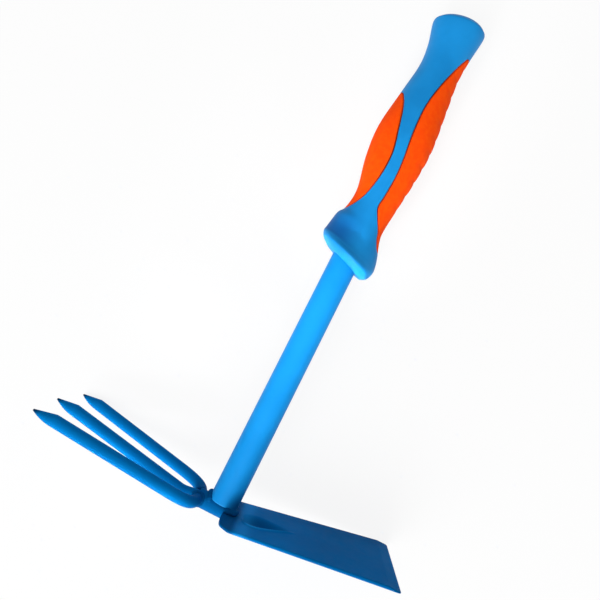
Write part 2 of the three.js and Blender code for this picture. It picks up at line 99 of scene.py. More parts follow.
# %% Where the tool lies
SLEEVE_LENGTH = 13.0
SLEEVE_END = 0.616
SLEEVE_HEIGHT = 1.7
SLEEVE_CENTRE = np.array([(SLEEVE_END - SLEEVE_LENGTH) / 2, 0, SLEEVE_HEIGHT])


def node_middle(name):
    """Mean of a CAD node's corners in millimetres, each corner counted once."""
    mesh = frame["nodes"][name].data
    points = np.empty(3 * len(mesh.vertices))
    mesh.vertices.foreach_get("co", points)
    corners = np.unique((points.reshape(-1, 3) / MM).round(3), axis=0)
    return corners.mean(axis=0), corners


def unit(vector):
    """The same direction at length one."""
    return vector / np.linalg.norm(vector, axis=-1, keepdims=True)


def tool_axes():
    """Rows are the tool's X, Y and Z in the world; the second result is its origin there. X is the
    direction in which the sleeve's corners spread most, and Z is square to it, towards the plug."""
    centre, corners = node_middle("fork_sleeve")
    along = np.linalg.svd(corners - centre, full_matrices=False)[2][0]
    along = along * np.sign(along[0])
    towards = node_middle("tube_end_plug")[0] - centre
    upward = unit(towards - along * (towards @ along))
    axes = np.array([along, np.cross(upward, along), upward])
    return axes, centre - SLEEVE_CENTRE @ axes


AXES, ORIGIN = tool_axes()
print("tool axes in the world:", AXES.round(4).tolist(), "origin", ORIGIN.round(2).tolist())


def to_world(points):
    """Tool millimetres to world metres."""
    return (np.asarray(points) @ AXES + ORIGIN) * MM


# %% [markdown]
# ## Skins from rings
# Nearly every piece is a loft: a row of closed rings with as many points each, joined by
# four-sided faces and closed by a fan at each end. A modelling kit of spheres and boxes could not
# give the grip's egg-shaped, slanted sections, and a loft can. `add_piece` puts the points in the
# world, shades them smooth, stores any per-point values that a finish wants to read, and ties the
# piece to the CAD node that it stands for.

# %% Lofts and pieces


def ring_faces(rows, count, wrap=False):
    """Faces between neighbouring rings: each joins a point and the next one on its ring to the same
    two on the following ring. With `wrap` the last ring is joined to the first."""
    i, j = np.meshgrid(np.arange(rows if wrap else rows - 1), np.arange(count), indexing="ij")
    here = i * count
    there = ((i + 1) % rows) * count
    after = (j + 1) % count
    corners = [here + j, here + after, there + after, there + j]
    return np.stack(corners, axis=-1).reshape(-1, 4).tolist()


def loft(rings):
    """Points and faces of a closed skin through rings given as rows, points and coordinates. Each
    end gets one centre point and a fan of triangles."""
    rows, count, _ = rings.shape
    points = np.concatenate([rings.reshape(-1, 3), rings[[0, -1]].mean(axis=1)])
    j = np.arange(count)
    after = (j + 1) % count
    last = (rows - 1) * count
    first_fan = np.stack([np.full(count, rows * count), after, j], axis=1)
    last_fan = np.stack([np.full(count, rows * count + 1), last + j, last + after], axis=1)
    return points, ring_faces(rows, count) + first_fan.tolist() + last_fan.tolist()


def closed_loop(rings):
    """Points and faces of a skin whose last ring is joined to its first, such as a pipe's wall."""
    rows, count, _ = rings.shape
    return rings.reshape(-1, 3), ring_faces(rows, count, wrap=True)


def add_piece(name, skin, material, node, values=None):
    """One visible piece in place of one CAD node. `values` gives a label and a number for each
    ring point; the centre points of a loft's ends get 0."""
    points, faces = skin
    mesh = bpy.data.meshes.new(name)
    mesh.from_pydata(to_world(points).tolist(), [], faces)
    mesh.update()
    mesh.polygons.foreach_set("use_smooth", np.ones(len(mesh.polygons), bool))
    for label, numbers in (values or {}).items():
        layer = mesh.attributes.new(label, "FLOAT", "POINT")
        padded = np.zeros(len(points))
        padded[:numbers.size] = numbers.ravel()
        layer.data.foreach_set("value", padded.astype(np.float32))
    mesh.materials.append(material)
    piece = bpy.data.objects.new(name, mesh)
    bpy.context.scene.collection.objects.link(piece)
    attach(piece, "root")
    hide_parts(node)
    print(f"{name}: {len(points)} points, {len(faces)} faces")


# %% [markdown]
# ## Finishes
# Real finishes are never one flat value. The steel is powder coated: the film is a little uneven
# in colour, its gloss varies, and under a raking light it shows the fine swells called orange
# peel. The grip's hard plastic carries the fine grain of its mould, and the soft rubber a coarser
# one, with a mottled, dusty look. Each finish is built from noise on Object coordinates, so that
# it lies still on the piece, at a scale given in millimetres. Where painted shade or a painted
# highlight follows the shape, as in a corner, the piece stores a value at its points and the
# finish reads it.

# %% Helpers for finishes


def fed(tree, kind, *sources, operation=None):
    """A new node whose first inputs take the given outputs, in their order."""
    node = tree.nodes.new(kind)
    if operation:
        node.operation = operation
    for socket, source in zip(node.inputs, sources):
        tree.links.new(source, socket)
    return node


def map_range(tree, source, start, stop, first, last):
    """A node that carries the range start to stop on to the range first to last."""
    node = fed(tree, "ShaderNodeMapRange", source)
    ends = {"From Min": start, "From Max": stop, "To Min": first, "To Max": last}
    for label, value in ends.items():
        node.inputs[label].default_value = value
    return node


class Finish:
    """A material with its shader, and short ways to add the nodes that the finishes share."""

    def __init__(self, name, roughness, specular):
        self.material = bpy.data.materials.new(name)
        self.material.use_nodes = True
        self.tree = self.material.node_tree
        self.shader = self.tree.nodes["Principled BSDF"]
        self.shader.inputs["Roughness"].default_value = roughness
        self.shader.inputs["Specular IOR Level"].default_value = specular
        self.place = fed(self.tree, "ShaderNodeTexCoord").outputs["Object"]

    def link(self, source, target):
        """Joins one node's output to another's input."""
        self.tree.links.new(source, target)

    def noise(self, grain, detail=2.0):
        """Noise whose lumps are about `grain` millimetres across, with `detail` finer layers."""
        node = fed(self.tree, "ShaderNodeTexNoise", self.place)
        node.inputs["Scale"].default_value = 1 / (grain * MM)
        node.inputs["Detail"].default_value = detail
        return node.outputs["Fac"]

    def spread(self, source, start, stop, first=0, last=1):
        """Carries the range start to stop on to the range first to last."""
        return map_range(self.tree, source, start, stop, first, last).outputs["Result"]

    def mix(self, share, first, second):
        """A colour between two, each a plain colour or another node's output. The node's inputs 6
        and 7 are the two colours, and its output 2 is the mixed one."""
        node = fed(self.tree, "ShaderNodeMix", share)
        node.data_type = "RGBA"
        for socket, colour in ((node.inputs[6], first), (node.inputs[7], second)):
            if isinstance(colour, tuple):
                socket.default_value = (*colour, 1)
            else:
                self.link(colour, socket)
        return node.outputs[2]

    def attribute(self, label):
        """A value that the piece stores at its points, or 0 where it stores none."""
        node = fed(self.tree, "ShaderNodeAttribute")
        node.attribute_name = label
        return node.outputs["Fac"]

    def colour(self, share, deep, light, values):
        """The shader's colour: between two by a share, then drawn to the colour that goes with
        each stored value, as far as that value rises."""
        mixed = self.mix(share, deep, light)
        for label, drawn_to in values.items():
            mixed = self.mix(self.attribute(label), mixed, drawn_to)
        self.link(mixed, self.shader.inputs["Base Color"])

    def bump(self, source, height, strength, before=None):
        """Raises the surface by up to `height` millimetres where the source is light."""
        node = fed(self.tree, "ShaderNodeBump")
        node.inputs["Distance"].default_value = height * MM
        node.inputs["Strength"].default_value = strength
        self.link(source, node.inputs["Height"])
        if before is not None:
            self.link(before, node.inputs["Normal"])
        return node.outputs["Normal"]


# %% [markdown]
# ### Powder coat
# One paint recipe serves the tube and the head, and the head's colours are the same paint made
# darker, a painted shade. A cloudy noise of about 20 mm shifts the colour by a few hundredths, a
# finer one varies the gloss, and a noise of 1.4 mm gives the orange peel, with a few nibs of dust
# in it. Both paints read `crease`, a painted shade that rises in corners. The head's also reads
# `point`, a painted shade that rises towards a tine's point, and `crest`, a painted highlight on
# the channel's lip and the flat beside the bend.

# %% Powder coat
CLOUD_GRAIN = 20
GLOSS_GRAIN = 5
PEEL_GRAIN = 1.4
PEEL_HEIGHT = 0.05
NIB_GRAIN = 0.9
NIB_HEIGHT = 0.04


def powder_coat(name, deep, light, roughness, specular, values):
    """Paint between a deep and a light colour, with the film's own unevenness."""
    film = Finish(name, roughness, specular)
    film.colour(film.spread(film.noise(CLOUD_GRAIN), 0.35, 0.65), deep, light, values)
    gloss = film.spread(film.noise(GLOSS_GRAIN, 3), 0.3, 0.7, roughness - 0.05, roughness + 0.07)
    film.link(gloss, film.shader.inputs["Roughness"])
    peel = film.bump(film.noise(PEEL_GRAIN, 1), PEEL_HEIGHT, strength=0.35)
    specks = film.spread(film.noise(NIB_GRAIN, 0), 0.7, 0.8)
    nibs = film.bump(specks, NIB_HEIGHT, strength=0.5, before=peel)
    film.link(nibs, film.shader.inputs["Normal"])
    return film.material


TUBE_LIGHT = (0.008, 0.31, 0.80)
TUBE_DEEP = (0.006, 0.285, 0.75)
# The head's colours: the tube's paint made darker, a painted shade.
HEAD_LIGHT = (0.0006, 0.166, 0.485)
HEAD_DEEP = (0.0004, 0.151, 0.445)
# Painted shade at the tines' points and in corners, and a painted highlight on the channel's lip.
POINT_SHADE = (0.001, 0.022, 0.07)
CREASE_SHADE = (0.0004, 0.062, 0.20)
PAINTED_HIGHLIGHT = (0.02, 0.38, 0.92)

TUBE_PAINT = powder_coat("tube_paint_finish", TUBE_DEEP, TUBE_LIGHT, roughness=0.40,
                         specular=0.06, values={"crease": CREASE_SHADE})
HEAD_VALUES = {"crease": CREASE_SHADE, "point": POINT_SHADE, "crest": PAINTED_HIGHLIGHT}
HEAD_PAINT = powder_coat("head_paint_finish", HEAD_DEEP, HEAD_LIGHT, roughness=0.42,
                         specular=0.004, values=HEAD_VALUES)
print("powder coat:", TUBE_PAINT.name, HEAD_PAINT.name)

# %% [markdown]
# ### Moulded plastic and soft rubber
# The core's plastic is satin: its mould was eroded with sparks, which leaves pits of a third of a
# millimetre. The rubber over it scatters light more and mirrors it less. Its colour is mottled in
# patches of a few millimetres, and its grain is coarser. Both read `hollow`, a painted shade that
# rises along the seams and above the guard's lip.

# %% Plastic and rubber
GRIP_DEEP = (0.003, 0.225, 0.58)
GRIP_LIGHT = (0.005, 0.255, 0.64)
# Painted shade: in the guard's hollow and the seams on the core, and on the inlays' borders.
GRIP_PAINTED_SHADE = (0.0004, 0.10, 0.38)
RUBBER_DEEP = (0.98, 0.068, 0.0008)
RUBBER_LIGHT = (1.0, 0.086, 0.001)
RUBBER_SEAM_SHADE = (0.16, 0.010, 0.001)
PLUG_DEEP = (0.018, 0.019, 0.021)
PLUG_LIGHT = (0.026, 0.028, 0.031)


def moulded(name, deep, light, patch, roughness, specular, grain, height, values):
    """A moulded material: two close colours in patches, and pits from the mould's surface."""
    plastic = Finish(name, roughness, specular)
    plastic.colour(plastic.spread(plastic.noise(patch, 3), 0.35, 0.65), deep, light, values)
    gloss = plastic.spread(plastic.noise(2 * patch), 0.3, 0.7, roughness - 0.04, roughness + 0.05)
    plastic.link(gloss, plastic.shader.inputs["Roughness"])
    pits = plastic.bump(plastic.noise(grain, 1), height, strength=0.5)
    swells = plastic.bump(plastic.noise(7 * grain, 1), 2 * height, strength=0.2, before=pits)
    plastic.link(swells, plastic.shader.inputs["Normal"])
    return plastic.material


GRIP_PLASTIC = moulded("grip_plastic_finish", GRIP_DEEP, GRIP_LIGHT, patch=14, roughness=0.46,
                       specular=0.15, grain=0.35, height=0.02, values={"hollow": GRIP_PAINTED_SHADE})
SOFT_RUBBER = moulded("soft_rubber_finish", RUBBER_DEEP, RUBBER_LIGHT, patch=2.6, roughness=0.72,
                      specular=0.06, grain=0.6, height=0.035, values={"hollow": RUBBER_SEAM_SHADE})
PLUG_PLASTIC = moulded("plug_plastic_finish", PLUG_DEEP, PLUG_LIGHT, patch=6, roughness=0.5,
                       specular=0.4, grain=0.4, height=0.03, values={})
print("moulded:", GRIP_PLASTIC.name, SOFT_RUBBER.name, PLUG_PLASTIC.name)

# %% [markdown]
# ## Tube
# A welded steel tube of 15 mm, sawn off, its foot saddled over the fork's sleeve. Its upper end is
# pressed a little oval inside the grip, so that the grip can't turn. It could be a cylinder with a
# Solidify modifier. A closed profile carried round the axis gives the wall, the rounded cut edges
# and the saddle in one go.

# %% Tube
TUBE_RADIUS = 7.5
TUBE_WALL = 1.2
TUBE_FOOT = 4.8
TUBE_TOP = 229.9
FLAT_LENGTH = 30
FLAT_BLEND = 12
FLAT_SQUEEZE = 1.3
SLEEVE_RADIUS = 4.3
SADDLE_BLEND = 2
SADDLE_FADE = 20
CUT_ROUND = 0.4
RING_RISES = np.concatenate([
    np.linspace(1, 8, 12), np.linspace(10, 195, 40), np.linspace(197, 222, 16)])
# Painted shade on the tube: dark at the foot on the blade's side, faint up its lower part.
FOOT_SHADE, FOOT_SHADE_HEIGHT = 0.9, 13
LOW_SHADE, LOW_SHADE_HEIGHT = 0.18, 100


def smooth_step(value):
    """Rises from 0 to 1 with level ends: three squares less two cubes."""
    t = np.clip(value, 0, 1)
    return t * t * (3 - 2 * t)


def falls_off(distance, length, hold):
    """From 1 down to 0 over one length, after it has held 1 for a share of that length."""
    return smooth_step(1 + hold - distance / length)


def once_round(count):
    """Evenly spaced angles once round."""
    return np.linspace(0, 2 * np.pi, count, endpoint=False)[None, :]


def saddle_lift(x, y):
    """How far the foot is cut back over the sleeve: as high as the sleeve's round back, on the
    fork's side only."""
    over = SLEEVE_HEIGHT + np.sqrt(np.maximum(SLEEVE_RADIUS**2 - y**2, 0)) - TUBE_FOOT
    return np.maximum(over, 0) * smooth_step(-x / SADDLE_BLEND)


def tube_rings():
    """Up the outside, over the top edge, down the bore and round the foot's edge: each ring is one
    step of that profile, turned about the axis, and they lie closer at the foot and at the oval
    top. The squeeze widens X and narrows Y there. The second result is the crease value, a painted
    shade: high on the blade's side of the foot, faint above it."""
    angle = once_round(96)
    turn = np.linspace(0, np.pi / 2, 5)
    sine, cosine = CUT_ROUND * np.sin(turn), CUT_ROUND * (1 - np.cos(turn))
    inner = TUBE_RADIUS - TUBE_WALL
    span = TUBE_TOP - TUBE_FOOT
    quarter = [(TUBE_RADIUS - CUT_ROUND + sine, cosine), (TUBE_RADIUS + 0 * RING_RISES, RING_RISES),
               (TUBE_RADIUS - cosine, span - CUT_ROUND + sine),
               (inner + CUT_ROUND - sine, span - cosine), (inner + cosine, CUT_ROUND - sine)]
    radius, height = (np.concatenate([part[k] for part in quarter])[:, None] for k in (0, 1))
    into_flat = TUBE_FOOT + height - (TUBE_TOP - FLAT_LENGTH)
    squeeze = FLAT_SQUEEZE * smooth_step(into_flat / FLAT_BLEND)
    x = (radius + squeeze) * np.cos(angle)
    y = (radius - squeeze) * np.sin(angle)
    lift = saddle_lift(x, y) * (1 - smooth_step(height / SADDLE_FADE))
    blade_side = smooth_step(0.12 + 0.88 * np.cos(angle))
    foot = FOOT_SHADE * falls_off(height, FOOT_SHADE_HEIGHT, hold=0.15) * blade_side
    low = LOW_SHADE * falls_off(height, LOW_SHADE_HEIGHT, hold=0.1)
    return np.stack([x, y, TUBE_FOOT + height + lift], axis=-1), np.maximum(foot, low)


rings, crease = tube_rings()
add_piece("steel_tube", closed_loop(rings), TUBE_PAINT, "shaft_tube",
          {"crease": crease})

# %% [markdown]
# ## Grip
# The grip is moulded in two shots: a hard blue core with a slanted guard, a neck, a swell for the
# palm and a flared pommel, and two soft orange inlays in pockets on the palm and finger sides.
# Sculpting could make it, but would be hard to repeat. Here its form is a row of egg-shaped rings.
# Each has its own height, reach towards the palm and towards the fingers, half depth and slope,
# and one smooth curve runs through the key rings. The guard is deepest at its rim and drawn in
# above its lip, which gives the lip its crisp border.

# %% Grip form
GRIP_FOOT = 137.9
SLOPE = 0.38
LIP_HEIGHT = 9.7
CROWN = 5.8
POMMEL_RISE = 146.0
POMMEL_SLOPE = -0.1
GRIP_LENGTH = POMMEL_RISE + CROWN
SWELL_PALM = 16.9
SWELL_FINGER = 15.8
INLAY_DEPTH = 2.6
RIM_DEPTH = 14.6
LIP_TOP_DEPTH = 11.6
FLARE_DEPTH = 11.1
THROAT_TUCK = 0.94
LIP = np.array([0.68 * LIP_HEIGHT, 17.5, 16.1, 12.8, 0.71 * SLOPE])
SHOULDER = np.array([20.2, 15.2, 12.1, 11.2, 0.5 * SLOPE])
NECK = np.array([39.0, 11.6, 12.9, 11.0, 0.0])
SWELL = np.array([76.0, SWELL_PALM, SWELL_FINGER, 13.4, 0.0])
WAIST = np.array([118.0, 11.8, 11.8, 10.8, 0.0])
POMMEL = np.array([POMMEL_RISE, 15.9, 14.0, 13.4, POMMEL_SLOPE])


def drawn_in(base, rise, share, slope):
    """The same ring drawn in to a share of its reach, as where an edge is rounded over."""
    return np.array([rise, *(base[1:4] * share), slope])


def between(below, above, rise_share, reach_share):
    """A ring part of the way up, with its own share of the way for the reaches."""
    share = np.array([rise_share, reach_share, reach_share, reach_share, rise_share])
    return below + (above - below) * share


def of_depth(ring, depth):
    """The same ring with another half depth."""
    return np.array([*ring[:3], depth, ring[4]])


def key_rings():
    """Rows of rise, palm reach, finger reach, half depth and slope, from the guard's rim up."""
    foot = of_depth(drawn_in(LIP, 0.0, 0.70, SLOPE), 0.70 * RIM_DEPTH)
    round_foot = of_depth(drawn_in(LIP, 0.18 * LIP_HEIGHT, 0.86, 0.9 * SLOPE), 0.87 * RIM_DEPTH)
    crest = of_depth(drawn_in(LIP, 0.38 * LIP_HEIGHT, 0.95, 0.8 * SLOPE), 0.99 * RIM_DEPTH)
    lip_top = of_depth(drawn_in(LIP, LIP_HEIGHT, 0.975, 0.6 * SLOPE), LIP_TOP_DEPTH)
    flare = of_depth(between(lip_top, SHOULDER, 0.4, 0.35), FLARE_DEPTH)
    throat = between(SHOULDER, NECK, 0.3, 0.72)
    throat[2] = THROAT_TUCK * SHOULDER[2]
    return np.array([
        foot, round_foot, crest, LIP, lip_top, flare, SHOULDER, throat,
        NECK, between(NECK, SWELL, 0.5, 0.72),
        SWELL, between(SWELL, WAIST, 0.55, 0.54),
        WAIST, between(WAIST, POMMEL, 0.5, 0.24),
        POMMEL,
        drawn_in(POMMEL, POMMEL_RISE + 0.5 * CROWN, 0.95, POMMEL_SLOPE),
        drawn_in(POMMEL, POMMEL_RISE + 0.84 * CROWN, 0.78, POMMEL_SLOPE),
        drawn_in(POMMEL, POMMEL_RISE + CROWN, 0.46, POMMEL_SLOPE),
    ])


def through(keys, where):
    """Catmull-Rom curve: between two keys it leaves and arrives along half the step from the key
    before to the key after. `where` counts in keys, from 0 to the last one."""
    last = len(keys) - 1
    padded = np.concatenate([2 * keys[:1] - keys[1:2], keys, 2 * keys[-1:] - keys[-2:-1]])
    i = np.clip(np.floor(where).astype(int), 0, last - 1)
    t = (where - i)[:, None]
    before, start, stop, after = (padded[i + k] for k in range(4))
    leave, arrive = (stop - before) / 2, (after - start) / 2
    return ((2 * t**3 - 3 * t**2 + 1) * start + (t**3 - 2 * t**2 + t) * leave
            + (3 * t**2 - 2 * t**3) * stop + (t**3 - t**2) * arrive)


KEYS = key_rings()
KEY_STEPS = np.linspace(0, len(KEYS) - 1, 6000)
FORM = through(KEYS, KEY_STEPS)
print("grip form:", len(KEYS), "key rings over", round(GRIP_LENGTH, 1), "mm")


def grip_point(rise, angle, inset):
    """A point of the grip's skin at a rise and an angle round the axis, set in by an inset: an
    ellipse with its own reach on the palm and finger sides, tilted by the ring's slope."""
    palm, finger, depth, slope = (np.interp(rise, FORM[:, 0], FORM[:, k]) for k in range(1, 5))
    reach = np.where(np.cos(angle) > 0, finger, palm)
    x = (reach - inset) * np.cos(angle)
    y = (depth - inset) * np.sin(angle)
    return np.stack([x, y, GRIP_FOOT + rise - slope * x], axis=-1)


# %% [markdown]
# The inner edge of each inlay is drawn as seen from the side: height as a share of the grip's
# length, and distance from the axis as a share of the swell's reach. Where a ring crosses that
# edge gives the angle at which the inlay ends there. The rings lie close together at the guard's
# rim and the pommel's crown, where the form turns fastest.

# %% Inlay edges
NO_EDGE = 99
PALM_EDGE = np.array([
    [0.158, 1.3], [0.166, 0.82], [0.222, 0.425], [0.3, 0.226], [0.369, 0.165], [0.426, 0.194],
    [0.5, 0.349], [0.573, 0.509], [0.622, 0.672], [0.649, 0.855], [0.668, 1.3]])
FINGER_EDGE = np.array([
    [0.067, 1.3], [0.08, 0.867], [0.113, 0.66], [0.144, 0.55], [0.181, 0.345], [0.218, 0.185],
    [0.267, 0.226], [0.337, 0.262], [0.411, 0.225], [0.48, 0.14], [0.555, 0.088], [0.627, 0.098],
    [0.703, 0.222], [0.781, 0.416], [0.843, 0.606], [0.875, 0.776], [0.892, 1.3]])
RISES = np.unique(np.concatenate([
    np.interp(np.linspace(0, 5, 80), KEY_STEPS, FORM[:, 0]),
    np.linspace(14, 143, 410),
    np.interp(np.linspace(13.6, 17, 40), KEY_STEPS, FORM[:, 0])]))


def edge_angle(edge, reach, palm_side):
    """For each rise, the angle from the side's own middle out to the inlay's edge, or 0 where the
    ring doesn't meet the inlay. Found by walking round each ring and noting where it crosses."""
    drawn = through(edge * np.array([1, reach]), np.linspace(0, len(edge) - 1, 400))
    walk = np.linspace(0, np.pi / 2, 500)
    angle = np.pi - walk if palm_side else walk
    points = grip_point(RISES[:, None], angle[None, :], 0)
    share = (points[..., 2] - GRIP_FOOT) / GRIP_LENGTH
    limit = np.interp(share, drawn[:, 0], drawn[:, 1], left=NO_EDGE, right=NO_EDGE)
    outside = np.abs(points[..., 0]) > limit
    return np.where(outside[:, 0], walk[np.argmin(outside, axis=1)], 0)


PALM_ANGLE = edge_angle(PALM_EDGE, SWELL_PALM, True)
FINGER_ANGLE = edge_angle(FINGER_EDGE, SWELL_FINGER, False)
print("rings with palm inlay:", int((PALM_ANGLE > 0).sum()),
      "with finger inlay:", int((FINGER_ANGLE > 0).sum()))

# %% [markdown]
# The core is one skin. Each ring runs across the finger pocket's floor, up its wall, over the core,
# down the palm pocket's wall and back on the far side. The walls' upper edges are rolled a little,
# so that a thin seam shows round each inlay, as on the real two-shot moulding, and the walls carry
# a painted shade that darkens it.

# %% Grip core
POCKET_STEPS = 8
ARC_STEPS = 44
LEAST_ANGLE = 0.05
WALL_OUT = np.array([0.0, 0.0, 0.1, 0.4])
WALL_IN = np.array([INLAY_DEPTH, 0.6, 0.2, 0.0])
# Painted shade on the pocket walls, in the seams, and in the guard's hollow above its lip.
WALL_SHADE, WALL_SHADE_INSET = 0.6, 0.2
HOLLOW_SHADE = 0.85
HOLLOW_START, HOLLOW_BLEND = 5.4, 3.2
HOLLOW_HEIGHT, HOLLOW_FADE = 10.5, 12
HOLLOW_SIDE, HOLLOW_SIDE_BLEND = 0.22, 0.8


def bell(distance, width):
    """A bell curve: 1 in its middle, and e to the minus square of the distance in widths."""
    return np.exp(-((distance / width) ** 2))


def guard_hollow(rise, angle):
    """How much painted shade lies in the guard's hollow: it rises over the lip and fades towards
    the neck as a bell curve does, on the palm side only."""
    over_lip = smooth_step((rise - HOLLOW_START) / HOLLOW_BLEND)
    fading = bell(np.maximum(rise - HOLLOW_HEIGHT, 0), HOLLOW_FADE)
    palm_side = smooth_step((HOLLOW_SIDE - np.cos(angle)) / HOLLOW_SIDE_BLEND)
    return HOLLOW_SHADE * over_lip * fading * palm_side


def core_rings():
    """The skin's points at each ring's angles and insets, and the hollow value, a painted shade, at
    each point.
    """
    rise = RISES[:, None]
    sides = (FINGER_ANGLE, PALM_ANGLE)
    finger, palm = (np.maximum(angle, LEAST_ANGLE)[:, None] for angle in sides)
    in_finger, in_palm = ((angle > 0)[:, None] for angle in sides)
    floor = np.linspace(-1, 1, POCKET_STEPS)[None, :]
    out = WALL_OUT[None, :] / np.interp(rise, FORM[:, 0], FORM[:, 3])
    start = finger + out[:, -1:]
    stop = np.pi - palm - out[:, -1:]
    arc = start + (stop - start) * np.linspace(0, 1, ARC_STEPS)[None, 1:-1]
    angles = np.concatenate([
        floor * finger, finger + out, arc, np.pi - palm - out[:, ::-1],
        np.pi + floor * palm, np.pi + palm + out, 2 * np.pi - arc[:, ::-1],
        2 * np.pi - finger - out[:, ::-1]], axis=1)
    flat = np.full((len(RISES), POCKET_STEPS), INLAY_DEPTH)
    wall = np.repeat(WALL_IN[None, :], len(RISES), axis=0)
    level = np.zeros_like(arc)
    insets = np.concatenate([
        flat * in_finger, wall * in_finger, level, wall[:, ::-1] * in_palm,
        flat * in_palm, wall * in_palm, level, wall[:, ::-1] * in_finger], axis=1)
    wall_shade = WALL_SHADE * np.minimum(insets / WALL_SHADE_INSET, 1)
    hollow = np.maximum(guard_hollow(rise, angles), wall_shade)
    return grip_point(rise + 0 * angles, angles, insets), hollow


rings, hollow = core_rings()
add_piece("grip_moulding", loft(rings), GRIP_PLASTIC, "grip_core",
          {"hollow": hollow})

# %% [markdown]
# Each inlay is a leaf of the same skin between its two edge angles. Its border is rolled down, and
# its underside follows the pocket's floor. The finger side has shallow ribs: between two ribs the
# surface dips to a crease, as a row of soft waves with sharp troughs.

# %% Inlays
RIB_PITCH = 8.9
RIB_DEPTH = 0.42
RIBS_FROM = 38
RIBS_TO = 127
RIBS_EASE = 4
RIBS_FADE = 0.62
RIBS_MARGIN = 4
INLAY_COLUMNS = 45
LEAST_HALF = 0.002
FIT = 0.3
BORDER_ROLL = 0.6
BORDER_WIDTH = 0.9
# Painted shade on the inlays' rolled border, at the seam.
BORDER_SHADE = 0.7


def rib_inset(rise):
    """Waves with round crests and sharp troughs, eased at both ends: one less the size of a sine,
    to a power of one and a half."""
    turns = (rise - RIBS_FROM) / RIB_PITCH
    into = smooth_step((rise - RIBS_FROM + RIBS_EASE) / (2 * RIBS_EASE))
    out_of = smooth_step((RIBS_TO + RIBS_EASE - rise) / (2 * RIBS_EASE))
    return RIB_DEPTH * (1 - np.abs(np.sin(np.pi * turns))) ** 1.5 * into * out_of


def inlay_rings(angle, centre, ribbed):
    """Each ring runs over the top of the leaf, from one edge to the other, and back below. The
    top sinks towards the leaf's border as a parabola does, and the hollow value, a painted shade,
    rises with it."""
    present = np.flatnonzero(angle > 0)
    rise = RISES[present][:, None]
    gap = FIT / np.interp(rise, FORM[:, 0], FORM[:, 3])
    half = np.maximum(angle[present][:, None] - gap, LEAST_HALF)
    across = np.sin(np.linspace(-1, 1, INLAY_COLUMNS) * np.pi / 2)[None, :]
    theta = centre + half * across
    skin = grip_point(rise + 0 * theta, theta, 0)
    border = np.concatenate([skin[:, 0], skin[:, -1], skin[0], skin[-1]])
    apart = skin.reshape(-1, 3)[:, None, :] - border[None]
    distance = np.sqrt((apart**2).sum(-1).min(axis=1)).reshape(theta.shape)
    roll = BORDER_ROLL * (1 - np.clip(distance / BORDER_WIDTH, 0, 1)) ** 2
    side_on = smooth_step((np.cos(theta) - RIBS_FADE) / (1 - RIBS_FADE))
    ribs = rib_inset(rise) * smooth_step(distance / RIBS_MARGIN) * side_on if ribbed else 0
    top = grip_point(rise + 0 * theta, theta, roll + ribs)
    under = grip_point(rise + 0 * theta, theta, INLAY_DEPTH - FIT)[:, ::-1]
    shade = BORDER_SHADE * roll / BORDER_ROLL
    return np.concatenate([top, under], axis=1), np.concatenate([shade, 0 * shade], axis=1)


for name, node, angle, centre, ribbed in (
        ("finger_inlay", "finger_grip_inlay", FINGER_ANGLE, 0.0, True),
        ("palm_inlay", "palm_grip_inlay", PALM_ANGLE, np.pi, False)):
    rings, hollow = inlay_rings(angle, centre, ribbed)
    add_piece(name, loft(rings), SOFT_RUBBER, node, {"hollow": hollow})

# %% [markdown]
# The plug inside the tube's top can't be seen on the assembled tool, and its CAD shape is right,
# so that node stays and only gets its finish.

# %% Plug
plug = frame["nodes"]["tube_end_plug"]
plug.data.materials.clear()
plug.data.materials.append(PLUG_PLASTIC)
print("plug keeps its CAD mesh with", PLUG_PLASTIC.name)

# %% [markdown]
# ## Hoe blade
# One sheet of steel, sheared to a tapered outline. Its heel is bent up to a flange under the tube,
# a channel is pressed into the face towards the tube, which stiffens the root, and the working edge
# is ground thin. The sheet is a height formula on a grid, once for its upper side and once for its
# lower. The channel's near border is thrown up into a low lip.

# %% Blade form
BLADE_THICKNESS = 1.6
BLADE_REACH = 90.4
BLADE_RISE = np.radians(9.1)
ROOT_WIDTH = 44.6
END_WIDTH = 61.8
HEEL_SETBACK = 2.1
HEEL_ALONG = 2.0
HEEL_ACROSS = 9.5
END_RADIUS = 2.2
CURL_START = 8.3
CURL_RISE = 1.9
BEND_RADIUS = 0.8
BEVEL_LENGTH = 6.0
EDGE_THICKNESS = 0.5
CHANNEL_START = 12.0
CHANNEL_LENGTH = 27.8
CHANNEL_HALF = 8.0
CHANNEL_DEPTH = 2.4
CHANNEL_FALL = 3.2
FAR_FALL = 2.4 * CHANNEL_FALL
NEAR_WIDER = 1.25
CHANNEL_LIP = 0.6
LIP_PLACE, LIP_WIDTH, LIP_FULL_DEPTH = 0.2, 0.9, 0.8


def drop_shape(along, swell, fade):
    """A drop's outline from 0 to 1 along it: one power of the way from its start times one of the
    way to its end, scaled to a greatest value of 1. A small `swell` gives a blunt start."""
    peak = swell / (swell + fade)
    return along**swell * (1 - along) ** fade / (peak**swell * (1 - peak) ** fade)


def channel_along(x):
    """The way along the channel: 0 at its start and 1 at its end."""
    return np.clip((x - CHANNEL_START) / CHANNEL_LENGTH, 0, 1)


def channel_half(along):
    """The channel's half width: it swells quickly and narrows away slowly."""
    return CHANNEL_HALF * drop_shape(along, swell=0.35, fade=1.3)


def channel_near(along, y):
    """Distance outwards from the channel's near border, which lies a quarter further out."""
    return -y - NEAR_WIDER * channel_half(along)


def bend_height(run):
    """A straight rise with a rounded foot: a hyperbola's height over its lowest point."""
    return np.hypot(run, BEND_RADIUS) - BEND_RADIUS


